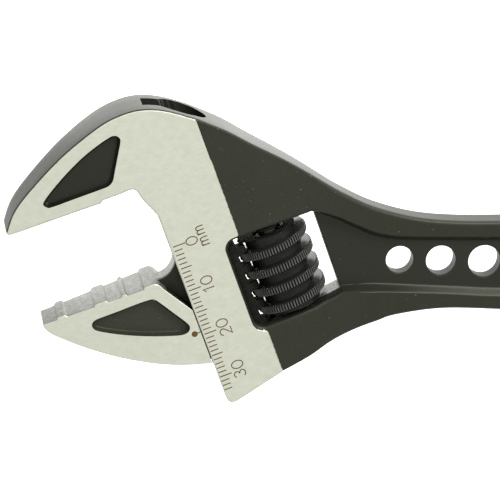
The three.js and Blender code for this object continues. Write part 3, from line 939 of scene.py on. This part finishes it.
def make_scale():
    parts = []
    for i in range(MARKS):
        y = FIRST_MARK_Y - i
        length = 2.6 if i % 10 == 0 else 2.3 if i % 5 == 0 else 1.75
        x0 = 0.7 - 0.4 * i / (MARKS - 1)
        parts.append(stroke([(x0, y), (x0 + length, y)], LINE, face_z))
    letters = [("0", 4.7, -14.0), ("1", 4.6, -24.9), ("0", 4.7, -23.0), ("2", 4.8, -34.9),
               ("0", 4.6, -32.9), ("3", 4.5, -44.7), ("0", 4.6, -42.6),
               ("m", 7.15, -14.95), ("m", 7.0, -12.45)]
    for kind, x, y in letters:
        for points, closed in glyph(kind, x, y):
            parts.append(stroke(points, LINE, face_z, closed))
    scale = mesh_object("neck_scale_marks", *join(parts))
    fix_normals(scale)
    dot = head_points(arc(DOT_X, POINTER_Y, DOT_R, 0, 2 * math.pi, 32)[:-1])
    verts, faces = lift(ccw(dot), face_z(DOT_X) - 0.04, face_z(DOT_X) + MARK_H)
    pointer = mesh_object("jaw_pointer_mark", *join([
        (verts, faces), stroke([(-1.0, POINTER_Y), (-0.12, POINTER_Y)], LINE, face_z)]))
    fix_normals(pointer)
    return scale, pointer


# ---- materials ----------------------------------------------------------------------
def linear(rgb):
    """Scene colour of a display colour."""
    return [((c / 255 + 0.055) / 1.055) ** 2.4 if c > 10 else c / 255 / 12.92 for c in rgb]


class Finish:
    """One procedural material; coordinates are the object's own, in metres."""

    def __init__(self, name, metallic, specular):
        self.mat = bpy.data.materials.new(name)
        self.mat.use_nodes = True
        self.tree = self.mat.node_tree
        self.bsdf = self.tree.nodes["Principled BSDF"]
        self.bsdf.inputs["Metallic"].default_value = metallic
        self.bsdf.inputs["Specular IOR Level"].default_value = specular
        self.coord = self.tree.nodes.new("ShaderNodeTexCoord")

    def node(self, kind):
        return self.tree.nodes.new(kind)

    def link(self, a, b):
        self.tree.links.new(a, b)

    def noise(self, scale, angle, detail, rough):
        """Noise with scale periods per metre, one number or one for each axis."""
        scale = np.broadcast_to(scale, 3)
        m = self.node("ShaderNodeMapping")
        m.vector_type = "TEXTURE"
        m.inputs["Rotation"].default_value = (0, 0, angle)
        m.inputs["Scale"].default_value = tuple(1.0 / float(s) for s in scale)
        self.link(self.coord.outputs["Object"], m.inputs["Vector"])
        n = self.node("ShaderNodeTexNoise")
        n.inputs["Scale"].default_value = 1.0
        n.inputs["Detail"].default_value = detail
        n.inputs["Roughness"].default_value = rough
        self.link(m.outputs["Vector"], n.inputs["Vector"])
        return n.outputs["Fac"]

    def ramp(self, value, stops):
        r = self.node("ShaderNodeValToRGB")
        e = r.color_ramp.elements
        while len(e) < len(stops):
            e.new(0.5)
        for el, (pos, col) in zip(e, stops):
            el.position = pos
            el.color = (*col, 1) if len(col) == 3 else (col[0],) * 3 + (1,)
        self.link(value, r.inputs["Fac"])
        return r.outputs["Color"]

    def mix(self, a, b, fac, blend="MIX"):
        m = self.node("ShaderNodeMix")
        m.data_type = "RGBA"
        m.blend_type = blend
        m.inputs[0].default_value = fac
        self.link(a, m.inputs[6])
        self.link(b, m.inputs[7])
        return m.outputs[2]

    def along_x(self):
        split = self.node("ShaderNodeSeparateXYZ")
        self.link(self.coord.outputs["Object"], split.inputs[0])
        return split.outputs[0]

    def span(self, value, low, high, start=0.0, end=1.0):
        """Value taken from start..end to low..high."""
        m = self.node("ShaderNodeMapRange")
        m.inputs["From Min"].default_value = start
        m.inputs["From Max"].default_value = end
        m.inputs["To Min"].default_value = low
        m.inputs["To Max"].default_value = high
        self.link(value, m.inputs["Value"])
        return m.outputs["Result"]

    def bump(self, value, distance, strength=1.0, after=None):
        b = self.node("ShaderNodeBump")
        b.inputs["Strength"].default_value = strength
        b.inputs["Distance"].default_value = distance
        self.link(value, b.inputs["Height"])
        if after is not None:
            self.link(after, b.inputs["Normal"])
        return b.outputs["Normal"]

    def finish(self, color, roughness, normal=None):
        self.link(color, self.bsdf.inputs["Base Color"])
        self.link(roughness, self.bsdf.inputs["Roughness"])
        if normal is not None:
            self.link(normal, self.bsdf.inputs["Normal"])
        return self.mat


def ground_steel():
    f = Finish("ground_steel", 1.0, 0.5)
    grain = f.noise((520, 3200, 3200), HEAD_ANGLE, 4, 0.6)
    patch = f.noise(620, 0, 4, 0.62)
    color = f.mix(
        f.ramp(grain, [(0.3, linear((204, 206, 189))), (0.7, linear((223, 225, 209)))]),
        f.ramp(patch, [(0.3, linear((208, 210, 193))), (0.7, linear((222, 224, 208)))]),
        0.55)
    rough = f.span(grain, 0.4, 0.5)
    normal = f.bump(patch, 0.00002, 0.3, f.bump(grain, 0.000008, 0.4))
    return f.finish(color, rough, normal)


FAR_FADE = (-0.045, -0.025)  # shared-frame x over which far_gain sets in, m


def black_finish(name, gain=1.0, far_gain=1.0):
    """Forging scale with a brightness gain, times far_gain beyond the head."""
    f = Finish(name, 0.0, 0.32)
    fine = f.noise(2600, 0, 4, 0.65)
    broad = f.noise(160, 0, 3, 0.5)
    color = f.mix(
        f.ramp(fine, [(0.32, (0.0115, 0.0125, 0.0075)), (0.68, (0.024, 0.0255, 0.018))]),
        f.ramp(broad, [(0.3, (0.014, 0.0155, 0.0105)), (0.7, (0.02, 0.0215, 0.0155))]),
        0.45)
    specks = f.noise(1500, 0.4, 2, 0.5)
    color = f.mix(color, f.ramp(specks, [(0.72, (0, 0, 0)), (0.78, (0.1, 0.1, 0.09))]), 1.0, "ADD")
    along = f.span(f.along_x(), gain, gain * far_gain, *FAR_FADE)
    color = f.mix(color, along, 1.0, "MULTIPLY")
    rough = f.span(broad, 0.4, 0.48)
    f.bsdf.inputs["Specular Tint"].default_value = (1.0, 1.03, 0.84, 1)
    normal = f.bump(fine, 0.00004, 0.4)
    return f.finish(color, rough, normal)


def mottled(name, shine, noise, tones, rough, relief):
    """One noise drives colour, roughness and relief; shine is (metallic, specular)."""
    f = Finish(name, *shine)
    fine = f.noise(*noise)
    return f.finish(f.ramp(fine, tones), f.span(fine, *rough), f.bump(fine, *relief))


def shadow_black():
    """Inner walls and hollows: matte unfinished scale, its colour darkened as painted shade; almost
    no shine.
    """
    return mottled("inner_wall_painted_shade", (0.0, 0.05), (2000, 0, 4, 0.65),
                   [(0.3, (0.006, 0.0065, 0.005)), (0.7, (0.018, 0.019, 0.015))],
                   (0.6, 0.8), (0.00004, 0.4))


def milled_steel():
    """Gripping faces: bare machined steel, scuffed and mottled."""
    f = Finish("milled_steel", 0.6, 0.4)
    mottle = f.noise(900, 0, 5, 0.7)
    lines = f.noise((3000, 3000, 260), HEAD_ANGLE, 3, 0.6)
    color = f.mix(
        f.ramp(mottle, [(0.3, linear((88, 89, 84))), (0.5, linear((126, 127, 121))),
                        (0.72, linear((168, 169, 162)))]),
        f.ramp(lines, [(0.3, linear((100, 101, 96))), (0.7, linear((146, 147, 140)))]),
        0.4)
    rough = f.span(mottle, 0.36, 0.6)
    normal = f.bump(mottle, 0.00008, 0.5, f.bump(lines, 0.00003, 0.6))
    return f.finish(color, rough, normal)


def worm_black():
    f = Finish("worm_black_oxide", 0.0, 0.75)
    fine = f.noise(2200, 0, 4, 0.6)
    broad = f.noise(300, 0, 3, 0.5)
    color = f.mix(
        f.ramp(fine, [(0.3, (0.006, 0.0065, 0.005)), (0.7, (0.02, 0.021, 0.017))]),
        f.ramp(broad, [(0.3, (0.008, 0.0085, 0.0065)), (0.7, (0.016, 0.017, 0.0135))]),
        0.4)
    rough = f.span(fine, 0.16, 0.3)
    return f.finish(color, rough, f.bump(fine, 0.000015, 0.3))


# thread roots between the crests, darkened as painted shade
def worm_root_shade():
    return mottled("worm_root_painted_shade", (0.0, 0.25), ((900, 900, 2600), 0, 4, 0.6),
                   [(0.35, (0.003, 0.0035, 0.0025)), (0.75, (0.015, 0.016, 0.012))],
                   (0.3, 0.5), (0.00004, 0.5))


# knurl ridge tops: partly wear, partly a painted highlight
def worm_wear_and_highlight():
    return mottled("worm_ridges_wear_and_highlight", (0.35, 0.7), (2600, 0, 4, 0.65),
                   [(0.3, (0.04, 0.043, 0.035)), (0.7, (0.12, 0.124, 0.108))],
                   (0.25, 0.42), (0.00003, 0.4))


def plain_steel(name, rgb, low, high):
    return mottled(name, (1.0, 0.5), (1800, 0, 4, 0.6),
                   [(0.3, [c * 0.85 for c in linear(rgb)]), (0.7, linear(rgb))],
                   (low, high), (0.00001, 0.3))


def etched():
    f = Finish("etched_brown", 0.0, 0.2)
    fine = f.noise(3500, 0, 2, 0.5)
    color = f.ramp(fine, [(0.3, linear((74, 54, 24))), (0.7, linear((104, 82, 44)))])
    return f.finish(color, f.span(fine, 0.5, 0.7))


# ---- build ------------------------------------------------------------------------
body, ground_line = make_body()
for cutter in (
    cylinder_cut(BORE_X, BORE_R, -70, 30),
    box_cut(SLOT_TOP_X, BORE_X, -70, 30, SLOT_H),
    box_cut(-8, BORE_X, -70, 3, SLOT_H),
    cylinder_cut(WORM_X, PIN_HOLE_R, -70, PIN_HOLE_TOP, 40),
    cylinder_cut(WORM_X, HEAD_HOLE_R, -70, HEAD_HOLE_TOP, 48),
):
    boolean(body, cutter, "DIFFERENCE")
jaw = make_jaw()
web, rack = make_rack()
worm = make_worm()
pin = make_pin()
spring = make_spring()
scale, pointer = make_scale()

# the inner-wall black made here is painted shade for hollows and parts in shade
STEEL, MILLED, INNER_SHADE = ground_steel(), milled_steel(), shadow_black()
BLACK = black_finish("black_forging", 1.0, 0.84)
# copies of the forging black: recess web and fixed pocket darker as painted shade, jaw pocket lighter
# as painted light
WEB_SHADE_BLACK = black_finish("black_recess_painted_shade", 0.62)
POCKET_SHADE_BLACK = black_finish("black_pocket_painted_shade", 0.52)
JAW_POCKET_LIT_BLACK = black_finish("black_jaw_pocket_painted_light", 1.45)


def centres(obj):
    """Face centres and normals, and the centres' head-frame x and y."""
    me = obj.data
    c = np.empty(len(me.polygons) * 3)
    n = np.empty(len(me.polygons) * 3)
    me.polygons.foreach_get("center", c)
    me.polygons.foreach_get("normal", n)
    c = c.reshape(-1, 3) * 1000 - np.array(ORIGIN)
    return c, n.reshape(-1, 3), *to_head(c[:, 0], c[:, 1])


def slots(obj, count):
    """Material index of each face as modelled."""
    index = np.empty(count, np.int32)
    obj.data.polygons.foreach_get("material_index", index)
    return index


def assign(obj, index, mats):
    for m in mats:
        obj.data.materials.append(m)
    obj.data.polygons.foreach_set("material_index", np.asarray(index, np.int32))
    obj.data.update()


# body: ground faces are bare, everything else is black
c, n, hx, hy = centres(body)
pocket = pocket_loop(FIXED_POCKET)
level = jaw_plane(hx)
# bare steel takes in less of the edge round on the outer side than elsewhere
edge_tilt = np.where(hy > 0.8, 0.93, 0.55)
ground = (np.abs(n[:, 2]) > edge_tilt) & (np.abs(c[:, 2]) > level - 0.25)
ground &= (signed(c[:, :2], ground_line) > 0.0) & (signed(c[:, :2], pocket) < 0.02)
grip = (hx < -4.5) & (hy < 0.6) & (np.abs(n[:, 2]) < 0.5) & (n @ UP_NECK < -0.5)
# inner walls of the jaw channel and the neck front: painted shade (the inner-wall black)
deep = (np.hypot(hx - BORE_X, c[:, 2]) < BORE_R + 0.05) & (hy < WIN["y1"] + 0.5)
deep |= (np.abs(c[:, 2]) < SLOT_H + 0.05) & (hx < BORE_X) & (hx > -2.4) & (hy < -3)
deep |= (np.abs(hx) < 0.25) & (hy < -7) & (np.abs(n[:, 2]) < 0.3)
index = np.where(ground, 0, np.where(grip, 2, np.where(deep, 3, 1)))
# the recess web takes the darker copy: painted shade
web_face = (np.abs(n[:, 2]) > 0.9) & (np.abs(c[:, 2]) < WEB_H + 0.2) & (hx > WIN["x1"])
index = np.where(web_face, 4, index)
# the fixed pocket takes the darker copy: painted shade
index = np.where((index == 1) & (signed(c[:, :2], pocket) > 0.0), 5, index)
# lower wall of the window, right end: painted light (milled grey) up to the web's level, painted
# shade (inner-wall black) above it
sill = (np.abs(n[:, 2]) < 0.3) & (hx > 24) & (hx < WIN["x1"] + 0.2) & (hy < -35.5) & (hy > -37.4)
sill &= n @ UP_NECK > 0.7
index = np.where(sill, np.where(c[:, 2] > 1.7, 3, 2), index)
assign(body, index, [STEEL, BLACK, MILLED, INNER_SHADE, WEB_SHADE_BLACK, POCKET_SHADE_BLACK])

c, n, hx, hy = centres(jaw)
pocket = pocket_loop(JAW_POCKET)
ground = (np.abs(n[:, 2]) > 0.55) & (np.abs(c[:, 2]) > jaw_plane(hx) - 0.25)
ground &= signed(c[:, :2], pocket) < 0.02
grip = (hx < -3.6) & (hy > -22.4) & (np.abs(n[:, 2]) < 0.6) & ~ground
index = np.where(ground, 0, np.where(grip, 2, 1))
# the jaw's pocket takes the lighter copy: painted light
index = np.where((index == 1) & (signed(c[:, :2], pocket) > 0.0), 3, index)
assign(jaw, index, [STEEL, BLACK, MILLED, JAW_POCKET_LIT_BLACK])
c, n, hx, hy = centres(web)
grip = (hy > -22.5) & (n @ UP_NECK > 0.35)
assign(web, np.where(grip, 1, 0), [BLACK, MILLED])
# rack: painted-shade black body; upper tooth flanks bare steel painted near white as a highlight
c, n, hx, hy = centres(rack)
highlit = (n @ UP_NECK > 0.8) & (c[:, 2] < HIGHLIT_Z) & (hx > 12.4) & (hy < -20.5)
assign(rack, np.where(highlit, 1, slots(rack, len(c))),
       [INNER_SHADE, plain_steel("painted_highlight_flank", (225, 225, 220), 0.25, 0.4)])
c, n, hx, hy = centres(worm)
# worm end faces and bore take the inner-wall black as painted shade
end = (hy > WORM_Y1 - 0.06) | (np.hypot(hx - WORM_X, c[:, 2]) < WORM_ROOT - 0.3)
# thread roots take the darker root black: painted shade
root = (np.hypot(hx - WORM_X, c[:, 2]) < WORM_ROOT + 0.12) & ~end
assign(worm, np.where(end, 2, np.where(root, 3, slots(worm, len(c)))),
       [worm_black(), worm_wear_and_highlight(), INNER_SHADE, worm_root_shade()])
pin.data.materials.append(plain_steel("pin_steel", (84, 84, 79), 0.35, 0.5))
# the spring is darkened as painted shade, where it sits in shade at the top of the window
spring.data.materials.append(plain_steel("spring_steel", (64, 64, 60), 0.4, 0.55))
mark = etched()
scale.data.materials.append(mark)
pointer.data.materials.append(mark)

shade(body, 30)
for piece, angle in ((jaw, 24), (web, 30), (rack, 30), (worm, 26), (pin, 30), (spring, 60)):
    shade(piece, angle)

for piece, home, node, slot in (
    (body, "handle_body", "wrench_body", "body_forging"),
    (jaw, "jaw", "movable_jaw", "jaw_steel"), (web, "jaw", "movable_jaw", "jaw_steel"),
    (rack, "jaw", "movable_jaw", "jaw_steel"), (worm, "worm", "worm_knurl", "worm_steel"),
    (pin, "handle_body", "worm_pin", "pin_steel"),
    (spring, "handle_body", "worm_spring", "spring_steel"),
    (scale, "handle_body", None, "scale_mark"), (pointer, "jaw", None, "scale_mark"),
):
    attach(piece, home)
    if node:
        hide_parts(node)

# ---- stage, light, camera -----------------------------------------------------
scene = bpy.context.scene
scene.view_settings.view_transform = "Standard"

floor_mesh = bpy.data.meshes.new("floor")
floor_mesh.from_pydata([(-3, -3, 0), (3, -3, 0), (3, 3, 0), (-3, 3, 0)], [], [(0, 1, 2, 3)])
floor = add_object("floor", floor_mesh)
floor.location.z = -0.0003
f = Finish("pale_floor", 0.0, 0.2)
f.bsdf.inputs["Base Color"].default_value = (0.6, 0.6, 0.6, 1)
f.bsdf.inputs["Roughness"].default_value = 0.9
# the sheet glows like a light table, most under the worm window
stops = [(0.05, 0.7), (0.17, 1.8), (0.3, 2.1), (0.55, 2.5), (0.75, 1.7), (1.0, 1.4)]
glow = f.ramp(f.span(f.along_x(), 0, 1, -0.1, 0.0), [(at, (v / 3,)) for at, v in stops])
glow = f.span(glow, 0, 3)
f.bsdf.inputs["Emission Color"].default_value = (1, 1, 1, 1)
f.link(glow, f.bsdf.inputs["Emission Strength"])
floor_mesh.materials.append(f.mat)

world = bpy.data.worlds.new("world")
scene.world = world
world.use_nodes = True
sky = world.node_tree
coord = sky.nodes.new("ShaderNodeTexCoord")
parts = sky.nodes.new("ShaderNodeSeparateXYZ")
rise = sky.nodes.new("ShaderNodeMapRange")
rise.inputs["To Min"].default_value = 0.5
rise.inputs["To Max"].default_value = 1.0
sky.links.new(coord.outputs["Generated"], parts.inputs[0])
sky.links.new(parts.outputs[2], rise.inputs["Value"])
sky.links.new(rise.outputs["Result"], sky.nodes["Background"].inputs["Strength"])
sky.nodes["Background"].inputs["Color"].default_value = (1, 1, 1, 1)

key_data = bpy.data.lights.new("key_panel", "AREA")
key_data.shape = "DISK"
key_data.size = 0.28
key_data.energy = 3.0
key = add_object("key_panel", key_data)
toward = Vector((0.32, 0.75, 0.58)).normalized()
key.location = Vector((-0.04, 0.0, 0.0)) + toward * 0.6
key.rotation_euler = toward.to_track_quat("Z", "Y").to_euler()

VIEW_WIDTH = 102.0935        # mm across the view at the aim
LENS_RATIO = 5.6             # focal length over sensor width
SENSOR = 36
cam_data = bpy.data.cameras.new("camera")
cam = add_object("camera", cam_data)
cam_data.sensor_width = SENSOR
cam_data.lens = SENSOR * LENS_RATIO
cam_data.clip_start = 0.01
cam_data.clip_end = 20
forward = Vector((0.155, -0.30, -1)).normalized()
side = forward.cross(Vector((0, 1, 0))).normalized()
up = side.cross(forward)
roll = math.radians(3.4392)
right = math.cos(roll) * side + math.sin(roll) * up
up = -math.sin(roll) * side + math.cos(roll) * up
aim = Vector(metres([(21.8008, -12.8846, 6.5)])[0])
place = aim - forward * (VIEW_WIDTH * LENS_RATIO / 1000)
cam.matrix_world = Matrix((
    (right.x, up.x, -forward.x, place.x),
    (right.y, up.y, -forward.y, place.y),
    (right.z, up.z, -forward.z, place.z),
    (0, 0, 0, 1)))
scene.camera = cam
